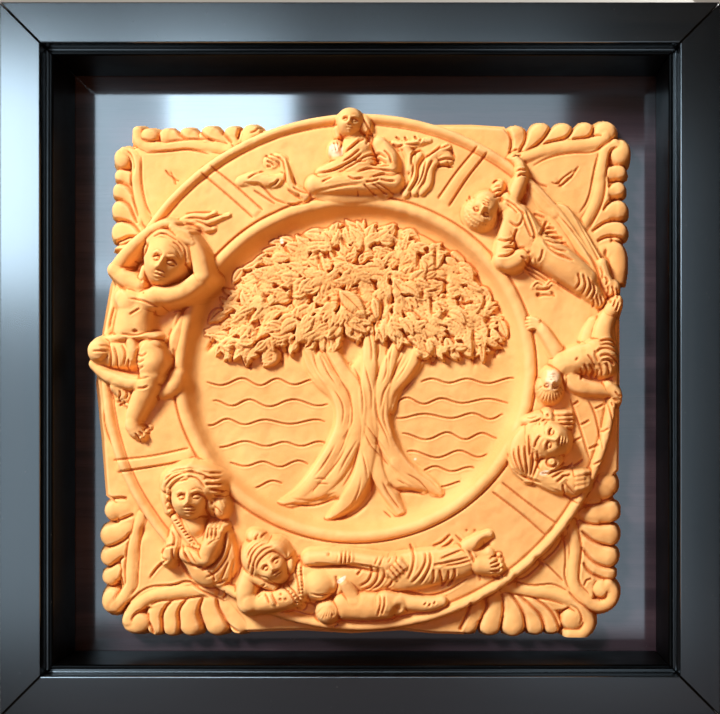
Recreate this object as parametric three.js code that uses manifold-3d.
import * as THREE from 'three';
import { mergeVertices } from 'three/addons/utils/BufferGeometryUtils.js';
import Module from 'manifold-3d';

// A terracotta relief panel in a dark wooden box frame, made to hang on a wall.
// Millimetres, +Z up. The front faces -Y and the back lies in the plane y = 0,
// with the origin in the middle of the back.

// Driving dimensions of the frame
const FRAME_WIDTH = 457;
const FRAME_HEIGHT = 453;
const FRAME_DEPTH = 57;
const RAIL_FACE = 25.4;
const STEP_WIDTH = 3;
const STEP_DEPTH = 11;
const REBATE_FROM_EDGE = 21;
const LINER_THICKNESS = 3;
const LINER_SETBACK = 5;
const LINER_CHAMFER = 0.9;
const BOARD_THICKNESS = 12;
const GAP = 0.3;

// Driving dimensions of the fired clay tile, with heights measured from its flat back
const TILE_WIDTH = 342;
const TILE_OFF_CENTRE = [-0.6, -10];
const PLATE_THICKNESS = 12;
const EDGE_BEVEL = 3;
const RING_HEIGHT = 18;
const RING_RADIUS = 171;
const RIM_HEIGHT = 2.5;
const RIM_WIDTH = 6;
const DISH_FLOOR = 8;
const DISH_RADIUS_X = 114;
const DISH_RADIUS_Z = 109;
const DISH_WALL_RUN = 8;
const DIVIDER_RADIUS = 3;
const WAVE_GROOVE = 1.8;
const WAVE_LENGTH = 26;
const WAVE_AMPLITUDE = 2.2;
const WAVE_STEP = 10;

// Facets of the carved forms
const LIMB_SIDES = 5;
const TIP_LENGTH = 0.9;
const SHARP_BEND = Math.PI / 3;
const BALL_SIDES = 7;
const BALL_RINGS = 4;
const RING_SIDES = 48;
const LEAF_CORNERS = 4;

// Places on the tile are read off a straight front view in which the tile is VIEW_SPAN units wide,
// with x to the right and y down, and VIEW_X, VIEW_Y over the middle of the tile. The eye is
// EYE_DISTANCE in front of the tile's back, over the place EYE_X, EYE_Y, so what stands higher
// than the ring is drawn in towards that place.
const VIEW_SPAN = 517;
const VIEW_X = 361;
const VIEW_Y = 379;
const VIEW_SCALE = TILE_WIDTH / VIEW_SPAN;
const EYE_X = 444.5;
const EYE_Y = 419.5;
const EYE_DISTANCE = 685;

const CLAY = new THREE.MeshStandardMaterial({ color: 0xe09a55, roughness: 0.85, metalness: 0 });
const RAIL_WOOD = new THREE.MeshStandardMaterial({ color: 0x34363a, roughness: 0.4, metalness: 0 });
const LINER_WOOD = new THREE.MeshStandardMaterial({ color: 0x15110f, roughness: 0.5, metalness: 0 });
const BOARD_WOOD = new THREE.MeshStandardMaterial({ color: 0x3a3038, roughness: 0.3, metalness: 0 });

const manifold = await Module();
manifold.setup();

// A closed geometry as a solid
function toSolid(geometry) {
  geometry.deleteAttribute('normal');
  geometry.deleteAttribute('uv');
  const merged = mergeVertices(geometry, 1e-4);
  return new manifold.Manifold(new manifold.Mesh({
    numProp: 3,
    vertProperties: new Float32Array(merged.attributes.position.array),
    triVerts: new Uint32Array(merged.index.array),
  }));
}

// A solid as a geometry with flat facets
function toGeometry(solid) {
  const mesh = solid.getMesh();
  const geometry = new THREE.BufferGeometry();
  geometry.setAttribute('position', new THREE.BufferAttribute(mesh.vertProperties, 3));
  geometry.setIndex(new THREE.BufferAttribute(mesh.triVerts, 1));
  geometry.computeVertexNormals();
  return geometry;
}

const join = (solids) => solids.reduce((sum, solid) => sum.add(solid));

// A point on the tile from a view place and a height over the tile's back
function spot(x, y, height) {
  const reach = (EYE_DISTANCE - height) / (EYE_DISTANCE - RING_HEIGHT);
  return new THREE.Vector3(
    (EYE_X + (x - EYE_X) * reach - VIEW_X) * VIEW_SCALE,
    -height,
    (VIEW_Y - EYE_Y - (y - EYE_Y) * reach) * VIEW_SCALE);
}

// A body turned about the axis through the tile, from a profile of [radius, height] pairs
function turned(profile, centre, stretch = 1, sides = RING_SIDES) {
  const points = profile.map(([radius, height]) => new THREE.Vector2(radius, height));
  const geometry = new THREE.LatheGeometry(points, sides);
  geometry.rotateX(Math.PI);
  geometry.scale(stretch, 1, 1);
  geometry.translate(centre.x, 0, centre.z);
  return toSolid(geometry);
}

// A tapered form through joints that bend gently, closed by a blunt point at each end.
// Its back half reaches straight in to the ground height, as clay laid on clay does.
function tube(joints, ground) {
  const centres = joints.map(([x, y, height]) => spot(x, y, height));
  const radii = joints.map((joint) => joint[3]);
  const last = centres.length - 1;
  const steps = centres.slice(1).map((centre, i) => centre.clone().sub(centres[i]).normalize());
  const out = new THREE.Vector3(0, -1, 0);
  const places = [];
  centres.forEach((centre, i) => {
    const before = steps[Math.max(i - 1, 0)];
    const after = steps[Math.min(i, last - 1)];
    const tangent = before.clone().add(after).normalize();
    const widening = 1 / Math.max(tangent.dot(after), 0.6);
    const aside = tangent.clone().cross(out).normalize();
    const rise = aside.clone().cross(tangent).normalize();
    for (let k = 0; k < LIMB_SIDES; k += 1) {
      const angle = (k * 2 * Math.PI) / LIMB_SIDES;
      const place = centre.clone()
        .addScaledVector(rise, radii[i] * Math.cos(angle))
        .addScaledVector(aside, radii[i] * Math.sin(angle) * widening);
      if (Math.cos(angle) < 0) {
        place.y = -ground;
      }
      places.push(...place.toArray());
    }
  });
  const startPole = places.length / 3;
  const start = centres[0].clone().addScaledVector(steps[0], -radii[0] * TIP_LENGTH);
  const end = centres[last].clone().addScaledVector(steps[last - 1], radii[last] * TIP_LENGTH);
  places.push(...start.toArray(), ...end.toArray());
  const faces = [];
  for (let k = 0; k < LIMB_SIDES; k += 1) {
    const next = (k + 1) % LIMB_SIDES;
    faces.push(startPole, next, k);
    for (let i = 0; i < last; i += 1) {
      const here = i * LIMB_SIDES;
      const beyond = here + LIMB_SIDES;
      faces.push(here + k, here + next, beyond + k, here + next, beyond + next, beyond + k);
    }
    const edge = last * LIMB_SIDES;
    faces.push(startPole + 1, edge + k, edge + next);
  }
  const geometry = new THREE.BufferGeometry();
  geometry.setAttribute('position', new THREE.Float32BufferAttribute(places, 3));
  geometry.setIndex(faces);
  return toSolid(geometry);
}

// A limb, fold, stem or root through joints given as [x, y, height, radius].
// Where it folds back sharply, as at an elbow or a knee, a new form starts.
function limbFrom(ground, joints) {
  const solids = [];
  let run = [joints[0]];
  for (let i = 1; i < joints.length; i += 1) {
    run.push(joints[i]);
    if (i + 1 < joints.length && bendAt(joints, i) > SHARP_BEND) {
      solids.push(tube(run, ground));
      run = [joints[i]];
    }
  }
  solids.push(tube(run, ground));
  return join(solids);
}

function bendAt(joints, i) {
  const arriving = new THREE.Vector2(joints[i][0] - joints[i - 1][0], joints[i][1] - joints[i - 1][1]);
  const leaving = new THREE.Vector2(joints[i + 1][0] - joints[i][0], joints[i + 1][1] - joints[i][1]);
  return arriving.angleTo(leaving);
}

const FIGURE_GROUND = RING_HEIGHT - 2;
const LOW_GROUND = DISH_FLOOR - 1;
const limb = (...joints) => limbFrom(FIGURE_GROUND, joints);
const ridge = (...joints) => limbFrom(LOW_GROUND, joints);

// A rounded mass with half sizes across, up and out of the tile, leaning clockwise by some degrees
function mass(x, y, height, across, up, out, lean = 0, ground = FIGURE_GROUND) {
  const geometry = new THREE.SphereGeometry(1, BALL_SIDES, BALL_RINGS);
  geometry.scale(across, out, up);
  geometry.rotateY(THREE.MathUtils.degToRad(lean));
  const places = geometry.attributes.position;
  for (let i = 0; i < places.count; i += 1) {
    if (places.getY(i) > 0.01) {
      places.setY(i, height - ground);
    }
  }
  const centre = spot(x, y, height);
  geometry.translate(centre.x, centre.y, centre.z);
  return toSolid(geometry);
}

// A pointed leaf with a keel, its edge at one height and its tip turned clockwise from up.
// Below its edge it reaches straight in to the ground height.
function leaf(x, y, edge, keel, turn, ground) {
  const profile = [[0, ground], [1, ground], [1, edge], [0, edge + keel]];
  const points = profile.map(([radius, height]) => new THREE.Vector2(radius, height));
  const geometry = new THREE.LatheGeometry(points, LEAF_CORNERS);
  geometry.rotateX(Math.PI);
  geometry.scale(LEAF_WIDTH / 2, 1, LEAF_LENGTH / 2);
  geometry.rotateY(THREE.MathUtils.degToRad(turn));
  const centre = spot(x, y, edge);
  geometry.translate(centre.x, 0, centre.z);
  return toSolid(geometry);
}

// Sub-part: one mitred bar of the frame, from its section of [inward, depth] pairs.
// It lies along X with its outer edge facing down, half a frame away from the middle.
function mitredBar(section, length, halfSpan) {
  const shape = new THREE.Shape(section.map(([inward, depth]) => new THREE.Vector2(inward, depth)));
  const geometry = new THREE.ExtrudeGeometry(shape, { depth: length, bevelEnabled: false });
  geometry.translate(0, 0, -length / 2);
  const places = geometry.attributes.position;
  for (let i = 0; i < places.count; i += 1) {
    const end = length / 2 - places.getX(i) - GAP / 2;
    places.setZ(i, Math.sign(places.getZ(i)) * end);
  }
  geometry.applyMatrix4(new THREE.Matrix4().makeBasis(
    new THREE.Vector3(0, 0, 1), new THREE.Vector3(0, -1, 0), new THREE.Vector3(1, 0, 0)));
  geometry.translate(0, 0, -halfSpan);
  return geometry;
}

const RAIL_SECTION = [
  [0, 0],
  [REBATE_FROM_EDGE, 0],
  [REBATE_FROM_EDGE, BOARD_THICKNESS + GAP],
  [RAIL_FACE + STEP_WIDTH, BOARD_THICKNESS + GAP],
  [RAIL_FACE + STEP_WIDTH, FRAME_DEPTH - STEP_DEPTH],
  [RAIL_FACE, FRAME_DEPTH - STEP_DEPTH],
  [RAIL_FACE, FRAME_DEPTH],
  [0, FRAME_DEPTH],
];

const LINER_OUTSIDE = RAIL_FACE + STEP_WIDTH + GAP;
const LINER_FRONT = FRAME_DEPTH - LINER_SETBACK;
const LINER_SECTION = [
  [LINER_OUTSIDE, BOARD_THICKNESS + GAP],
  [LINER_OUTSIDE + LINER_THICKNESS, BOARD_THICKNESS + GAP],
  [LINER_OUTSIDE + LINER_THICKNESS, LINER_FRONT - LINER_CHAMFER],
  [LINER_OUTSIDE + LINER_THICKNESS - LINER_CHAMFER, LINER_FRONT],
  [LINER_OUTSIDE + LINER_CHAMFER, LINER_FRONT],
  [LINER_OUTSIDE, LINER_FRONT - LINER_CHAMFER],
];

const SIDES = [
  { name: 'bottom', turn: 0, length: FRAME_WIDTH, halfSpan: FRAME_HEIGHT / 2 },
  { name: 'left', turn: 90, length: FRAME_HEIGHT, halfSpan: FRAME_WIDTH / 2 },
  { name: 'top', turn: 180, length: FRAME_WIDTH, halfSpan: FRAME_HEIGHT / 2 },
  { name: 'right', turn: 270, length: FRAME_HEIGHT, halfSpan: FRAME_WIDTH / 2 },
];

// Four bars of one kind around the frame
function barsAround(prefix, section, material) {
  const group = new THREE.Group();
  for (const side of SIDES) {
    const bar = new THREE.Mesh(mitredBar(section, side.length, side.halfSpan), material);
    bar.name = `${prefix}_${side.name}`;
    bar.rotation.y = THREE.MathUtils.degToRad(side.turn);
    group.add(bar);
  }
  return group;
}

// Sub-part: the board that closes the back and carries the tile
function backBoard() {
  const width = FRAME_WIDTH - 2 * (REBATE_FROM_EDGE + GAP);
  const height = FRAME_HEIGHT - 2 * (REBATE_FROM_EDGE + GAP);
  const board = new THREE.Mesh(new THREE.BoxGeometry(width, BOARD_THICKNESS, height), BOARD_WOOD);
  board.name = 'back_board';
  board.position.y = -BOARD_THICKNESS / 2;
  return board;
}

// A flat form with a bevelled edge, from an outline of view places
function slab(outline, fromHeight, toHeight, bevel) {
  const points = outline.map(([x, y]) => spot(x, y, toHeight)).map(({ x, z }) => new THREE.Vector2(x, z));
  const geometry = new THREE.ExtrudeGeometry(new THREE.Shape(points), {
    depth: toHeight - fromHeight - bevel,
    bevelThickness: bevel,
    bevelSize: bevel,
    bevelOffset: -bevel / 2,
    bevelSegments: 1,
  });
  geometry.rotateX(Math.PI / 2);
  geometry.translate(0, -fromHeight, 0);
  return toSolid(geometry);
}

// Rounded lobes along the edges of the four corner leaves, clockwise from the left edge of the
// top left corner, each run with the way its edge faces
const LOBE_RUNS = [
  { faces: [-1, 0], tips: [[121, 247], [119, 231], [119, 213], [120, 195], [121, 178]] },
  { faces: [0, -1], tips: [[167, 132], [190, 132], [212, 131], [233, 131]] },
  { faces: [0, -1], tips: [[515, 136], [534, 133], [558, 131], [581, 131]] },
  { faces: [1, 0], tips: [[620, 175], [619, 193], [618, 213], [619, 232], [620, 252]] },
  { faces: [1, 0], tips: [[611, 517], [611, 537], [611, 557], [610, 577]] },
  { faces: [0, 1], tips: [[552, 628], [533, 628], [514, 626], [495, 624], [477, 623]] },
  { faces: [0, 1], tips: [[212, 623], [190, 624], [172, 625], [154, 627]] },
  { faces: [-1, 0], tips: [[105, 579], [105, 556], [105, 533], [106, 511]] },
];
const LOBE_HALF_WIDTH = 5;
const NOTCH_DEPTH = 10;
const CORNER_TURNS = { 0: [125, 140], 2: [612, 140], 4: [600, 622], 6: [114, 620] };
const EDGE_STRETCH = { 3: [[620, 290], [620, 400], [615, 495]] };

// The tile's plate, a slightly sheared square with a scalloped edge at its corners
function plate() {
  const outline = [];
  LOBE_RUNS.forEach(({ faces, tips }, run) => {
    const along = [-faces[1], faces[0]];
    tips.forEach(([x, y], i) => {
      for (const side of [-1, 1]) {
        outline.push([x + side * along[0] * LOBE_HALF_WIDTH, y + side * along[1] * LOBE_HALF_WIDTH]);
      }
      if (i + 1 < tips.length) {
        const [nextX, nextY] = tips[i + 1];
        outline.push([
          (x + nextX) / 2 - faces[0] * NOTCH_DEPTH,
          (y + nextY) / 2 - faces[1] * NOTCH_DEPTH]);
      }
    });
    if (CORNER_TURNS[run]) {
      outline.push(CORNER_TURNS[run]);
    }
    outline.push(...(EDGE_STRETCH[run] ?? []));
  });
  return slab(outline, 0, PLATE_THICKNESS, EDGE_BEVEL);
}

const RING_CENTRE = spot(358, 374, RING_HEIGHT);
const DISH_CENTRE = spot(353, 371, RING_HEIGHT);

// The broad ring with its raised outer rim
function ring() {
  const top = RING_HEIGHT + RIM_HEIGHT;
  return turned([
    [0, 0],
    [RING_RADIUS - 1.5, 0],
    [RING_RADIUS, 2],
    [RING_RADIUS, top - 2],
    [RING_RADIUS - RIM_WIDTH / 2, top],
    [RING_RADIUS - RIM_WIDTH, RING_HEIGHT],
    [0, RING_HEIGHT],
  ], RING_CENTRE);
}

// The raised lip around the dish
function dishLip() {
  const top = RING_HEIGHT + RIM_HEIGHT;
  return turned([
    [0, RING_HEIGHT - 1],
    [DISH_RADIUS_Z + RIM_WIDTH, RING_HEIGHT - 1],
    [DISH_RADIUS_Z + RIM_WIDTH - 1, top - 0.5],
    [DISH_RADIUS_Z, top],
    [0, top],
  ], DISH_CENTRE, DISH_RADIUS_X / DISH_RADIUS_Z);
}

// The hollow of the dish, to be cut out
function dishHollow() {
  const top = RING_HEIGHT + RIM_HEIGHT + 1;
  return turned([
    [0, DISH_FLOOR],
    [DISH_RADIUS_Z - DISH_WALL_RUN - 3, DISH_FLOOR],
    [DISH_RADIUS_Z - DISH_WALL_RUN, DISH_FLOOR + 2],
    [DISH_RADIUS_Z, top - 2],
    [DISH_RADIUS_Z, top],
    [0, top],
  ], DISH_CENTRE, DISH_RADIUS_X / DISH_RADIUS_Z);
}

// Raised bars that part the ring into scenes
function dividers() {
  const height = RING_HEIGHT + 0.2;
  const bars = [
    [207, 171, 257, 215],
    [485, 153, 441, 206],
    [118, 467, 190, 456],
    [490, 490, 548, 533],
  ];
  return join(bars.map(([x0, y0, x1, y1]) => (
    limb([x0, y0, height, DIVIDER_RADIUS], [x1, y1, height, DIVIDER_RADIUS]))));
}

const STEM_HEIGHT = 12.5;
const STEM_RADIUS = 4.3;
const CURL_RADIUS = 6.5;

// Corner leaves: two stems part from the ring and end in curls, with a spine between them
const CORNER_LEAVES = [
  {
    stems: [
      [[238, 148], [192, 149], [146, 141]],
      [[146, 240], [136, 200], [126, 160]],
    ],
    spine: [[162, 171], [184, 192]],
  },
  {
    stems: [
      [[510, 160], [550, 149], [602, 139]],
      [[584, 222], [600, 183], [616, 156]],
    ],
    spine: [[580, 166], [550, 186]],
  },
  {
    stems: [
      [[140, 505], [129, 555], [114, 600]],
      [[222, 597], [175, 592], [131, 619]],
    ],
    spine: [[146, 582], [168, 558]],
  },
  {
    stems: [
      [[570, 522], [575, 565], [600, 597]],
      [[500, 588], [545, 592], [574, 619]],
    ],
    spine: [[562, 581], [538, 561]],
  },
];

function cornerLeaf({ stems, spine }) {
  const solids = stems.map((stem) => ridge(...stem.map(([x, y]) => [x, y, STEM_HEIGHT, STEM_RADIUS])));
  for (const stem of stems) {
    const [x, y] = stem[stem.length - 1];
    solids.push(mass(x, y, STEM_HEIGHT - 1, CURL_RADIUS, CURL_RADIUS, CURL_RADIUS, 0, 1));
  }
  solids.push(ridge(...spine.map(([x, y]) => [x, y, PLATE_THICKNESS, 2])));
  return join(solids);
}

// The tree's trunk with its branches and spreading roots, clockwise from the upper left
const TRUNK_OUTLINE = [
  [299, 340], [334, 340], [349, 372], [362, 340], [382, 335], [391, 374], [410, 335], [430, 340],
  [410, 381], [389, 405], [392, 427], [404, 457], [417, 472], [441, 495], [400, 484], [404, 516],
  [372, 486], [320, 528], [332, 498], [268, 512], [311, 469], [322, 452], [333, 427], [331, 405],
  [306, 380],
];
const CORDS = [
  [[314, 350], [346, 400], [342, 450], [300, 492]],
  [[374, 350], [364, 400], [358, 450], [336, 508]],
  [[414, 350], [378, 400], [378, 440], [392, 500]],
  [[384, 440], [402, 470], [430, 489]],
];
const TRUNK_TOP = 14;
const CORD_RADIUS = 4;

function trunk() {
  const solids = [slab(TRUNK_OUTLINE, LOW_GROUND, TRUNK_TOP, EDGE_BEVEL)];
  for (const cord of CORDS) {
    const heights = cord.map((_, i) => TRUNK_TOP - (i === cord.length - 1 ? 3 : 0));
    solids.push(ridge(...cord.map(([x, y], i) => [x, y, heights[i], CORD_RADIUS])));
  }
  return join(solids);
}

// The canopy's outline, clockwise from its left end
const CANOPY_OUTLINE = [
  [200, 331], [228, 269], [263, 243], [305, 222], [364, 217], [413, 222], [441, 235], [479, 260],
  [497, 287], [510, 330], [508, 358], [476, 369], [447, 364], [425, 370], [410, 352], [364, 342],
  [331, 362], [305, 348], [270, 370], [228, 366], [207, 353],
];
const CANOPY_MIDDLE = [355, 293];
const CANOPY_HALF_WIDTH = 150;
const CANOPY_HALF_HEIGHT = 72;
const CANOPY_TOP = 14;
const UPPER_TIERS = [{ scale: 0.72, top: 18, points: 16 }, { scale: 0.38, top: 21, points: 12 }];
const LOW_LEAVES = [[222, 350], [245, 356], [270, 352], [296, 336], [428, 352], [452, 352], [478, 354],
  [498, 344]];
const LEAF_ROWS = [
  { scale: 0.84, count: 30, top: 14 },
  { scale: 0.53, count: 17, top: 18 },
  { scale: 0.2, count: 6, top: 21 },
];
const LEAF_LENGTH = 30;
const LEAF_WIDTH = 18;
const LEAF_SPREAD = 50;
const LEAF_SUNK = 3;
const LEAF_KEEL = 5.7;

// A place on the canopy, by angle clockwise from straight up and share of the way to its edge
function canopyPlace(angle, scale) {
  const [midX, midY] = CANOPY_MIDDLE;
  return [
    midX + CANOPY_HALF_WIDTH * scale * Math.sin(angle),
    midY - CANOPY_HALF_HEIGHT * scale * Math.cos(angle)];
}

// The canopy: three flat tiers set with rows of pointed leaves that hang outward and down
function canopy() {
  const solids = [slab(CANOPY_OUTLINE, LOW_GROUND, CANOPY_TOP, EDGE_BEVEL)];
  for (const { scale, top, points } of UPPER_TIERS) {
    const oval = Array.from({ length: points }, (_, i) => canopyPlace((i * 2 * Math.PI) / points, scale));
    solids.push(slab(oval, LOW_GROUND, top, EDGE_BEVEL));
  }
  for (const { scale, count, top } of LEAF_ROWS) {
    for (let i = 0; i < count; i += 1) {
      const angle = ((i + 0.5) * 2 * Math.PI) / count;
      const [x, y] = canopyPlace(angle, scale);
      const turn = 180 - LEAF_SPREAD * Math.sin(angle);
      solids.push(leaf(x, y, top - LEAF_SUNK, LEAF_KEEL, turn, LOW_GROUND));
    }
  }
  for (const [x, y] of LOW_LEAVES) {
    solids.push(leaf(x, y, CANOPY_TOP - LEAF_SUNK, LEAF_KEEL, 180, LOW_GROUND));
  }
  return join(solids);
}

// Water on both sides of the trunk: [y, from x, to x]
const WAVES = [
  [384, 205, 322],
  [405, 211, 327],
  [424, 200, 325],
  [446, 212, 324],
  [466, 219, 306],
  [486, 237, 284],
  [383, 419, 512],
  [403, 400, 507],
  [418, 399, 503],
  [438, 404, 497],
  [456, 410, 490],
  [471, 421, 476],
];

// A three-sided groove along a wavy line in the dish's floor, to be cut out
function waveGroove([y, fromX, toX]) {
  const steps = Math.round((toX - fromX) / WAVE_STEP);
  const points = [];
  for (let i = 0; i <= steps; i += 1) {
    const point = spot(fromX + ((toX - fromX) * i) / steps, y, DISH_FLOOR);
    point.z += WAVE_AMPLITUDE * Math.sin((point.x * 2 * Math.PI) / WAVE_LENGTH);
    points.push(point);
  }
  const section = [[-1, -1], [1, -1], [0, 1]];
  const sides = section.length;
  const places = [];
  for (const point of points) {
    for (const [across, inward] of section) {
      places.push(point.x, point.y + inward * WAVE_GROOVE, point.z + across * WAVE_GROOVE);
    }
  }
  const faces = [0, 1, 2];
  for (let i = 0; i < steps; i += 1) {
    for (let k = 0; k < sides; k += 1) {
      const here = i * sides + k;
      const beside = i * sides + ((k + 1) % sides);
      faces.push(here, here + sides, beside, beside, here + sides, beside + sides);
    }
  }
  const last = steps * sides;
  faces.push(last, last + 2, last + 1);
  const geometry = new THREE.BufferGeometry();
  geometry.setAttribute('position', new THREE.Float32BufferAttribute(places, 3));
  geometry.setIndex(faces);
  return toSolid(geometry);
}

// Seated teacher with one hand raised, over the top of the ring, between two plants
function seatedTeacher() {
  return join([
    mass(348, 121, 26, 9, 9.5, 9),
    limb([352, 138, 21, 6], [356, 182, 20, 11]),
    limb([321, 176, 22, 6], [332, 148, 25, 4.5]),
    limb([382, 149, 20, 5.5], [390, 170, 21, 5.5], [345, 184, 24, 4]),
    limb([316, 189, 20, 6.5], [396, 194, 20, 6.5]),
    limb([306, 201, 18, 3.5], [284, 178, 19, 5], [268, 158, 18, 3]),
    limb([264, 190, 18, 3], [243, 181, 18, 2.5]),
    limb([404, 196, 18, 3.5], [424, 168, 19, 4.5], [450, 150, 18, 3.5]),
    limb([396, 145, 18, 4], [426, 145, 18, 4]),
  ]);
}

// Crouching man with both arms raised to his head, at the left
function crouchingMan() {
  return join([
    mass(165, 260, 31, 12, 16, 12, -10),
    limb([154, 292, 22, 15], [136, 340, 22, 12]),
    limb([130, 292, 25, 7], [117, 267, 27, 6.5], [150, 233, 30, 4.5]),
    limb([176, 297, 25, 7], [206, 280, 28, 6.5], [186, 231, 30, 5]),
    limb([180, 223, 22, 4], [228, 220, 19, 2]),
    limb([126, 350, 26, 9], [98, 354, 29, 8]),
    limb([103, 366, 28, 6.5], [146, 388, 25, 5.5]),
    limb([148, 352, 26, 10], [160, 376, 25, 9], [138, 418, 22, 6.5], [134, 436, 20, 6]),
  ]);
}

// Woman with joined hands, at the lower left
function prayingWoman() {
  return join([
    mass(191, 497, 31, 13, 16.5, 12),
    mass(197, 483, 26, 18, 11, 10),
    mass(216, 508, 23, 6, 7, 6),
    limb([196, 530, 21, 11], [212, 588, 20, 14]),
    limb([183, 553, 26, 6.5], [216, 554, 27, 6]),
    limb([211, 550, 29, 5], [211, 532, 31, 4.5]),
  ]);
}

// Reclining mother with her child, at the bottom
function motherAndChild() {
  return join([
    mass(264, 563, 31, 13, 16, 12, 18),
    mass(258, 541, 24, 8, 6, 6),
    limb([249, 606, 22, 6.5], [247, 578, 24, 5]),
    limb([252, 605, 23, 6.5], [294, 596, 24, 8]),
    limb([302, 577, 22, 12], [345, 575, 21, 11], [400, 572, 21, 13], [432, 568, 20, 11],
      [490, 558, 19, 7]),
    limb([306, 561, 27, 5.5], [394, 570, 27, 5.5]),
    mass(319, 586, 29, 8, 8, 7),
    mass(326, 611, 29, 9, 8.5, 8),
    limb([342, 608, 25, 8], [384, 608, 24, 7.5], [430, 605, 20, 4.5]),
  ]);
}

// Woman lying on her side by a low wall, at the lower right
function lyingWoman() {
  return join([
    mass(547, 441, 30, 13, 12, 11),
    limb([524, 418, 21, 7], [516, 468, 20, 7]),
    limb([540, 470, 20, 9], [582, 480, 22, 7]),
    limb([554, 421, 25, 5.5], [572, 422, 24, 5]),
  ]);
}

// Boy with his head low, at the right
function fallingBoy() {
  return join([
    mass(552, 383, 29, 9, 9, 9),
    mass(551, 398, 24, 11, 7, 8),
    limb([566, 375, 21, 8], [603, 356, 21, 10]),
    limb([606, 348, 20, 7], [614, 302, 19, 5]),
    limb([592, 346, 19, 6], [585, 326, 19, 5]),
    limb([558, 366, 22, 4.5], [531, 325, 21, 4]),
    limb([570, 388, 21, 4.5], [613, 398, 19, 4]),
  ]);
}

// Reclining figure with one arm raised, at the upper right
function recliningFigure() {
  return join([
    mass(482, 210, 29, 12, 12, 10, -10),
    limb([502, 213, 21, 10], [542, 256, 20, 10]),
    limb([511, 203, 23, 6], [516, 163, 22, 4.5]),
    limb([505, 244, 23, 5.5], [500, 260, 22, 5], [526, 263, 20, 4.5]),
    limb([550, 261, 21, 9.5], [588, 288, 21, 8], [600, 306, 19, 5]),
    limb([566, 208, 18, 4], [602, 284, 18, 4]),
  ]);
}

const FIGURES = [
  seatedTeacher, crouchingMan, prayingWoman, motherAndChild, lyingWoman, fallingBoy,
  recliningFigure,
];

// Sub-part: the relief, one fired piece with a flat back
function relief() {
  const grooves = join(WAVES.map(waveGroove));
  const ground = join([plate(), ring(), dishLip(), dividers(), ...CORNER_LEAVES.map(cornerLeaf)])
    .subtract(dishHollow())
    .subtract(grooves);
  const carved = join([ground, trunk(), canopy(), ...FIGURES.map((figure) => figure())]);
  const room = new THREE.BoxGeometry(2 * TILE_WIDTH, FRAME_DEPTH, 2 * TILE_WIDTH);
  room.translate(0, -FRAME_DEPTH / 2, 0);
  const tile = new THREE.Mesh(toGeometry(carved.intersect(toSolid(room))), CLAY);
  tile.name = 'terracotta_relief';
  tile.position.set(TILE_OFF_CENTRE[0], -(BOARD_THICKNESS + GAP), TILE_OFF_CENTRE[1]);
  return tile;
}

const panel = new THREE.Group();
panel.add(barsAround('rail', RAIL_SECTION, RAIL_WOOD));
panel.add(barsAround('liner', LINER_SECTION, LINER_WOOD));
panel.add(backBoard());
panel.add(relief());

export default panel;
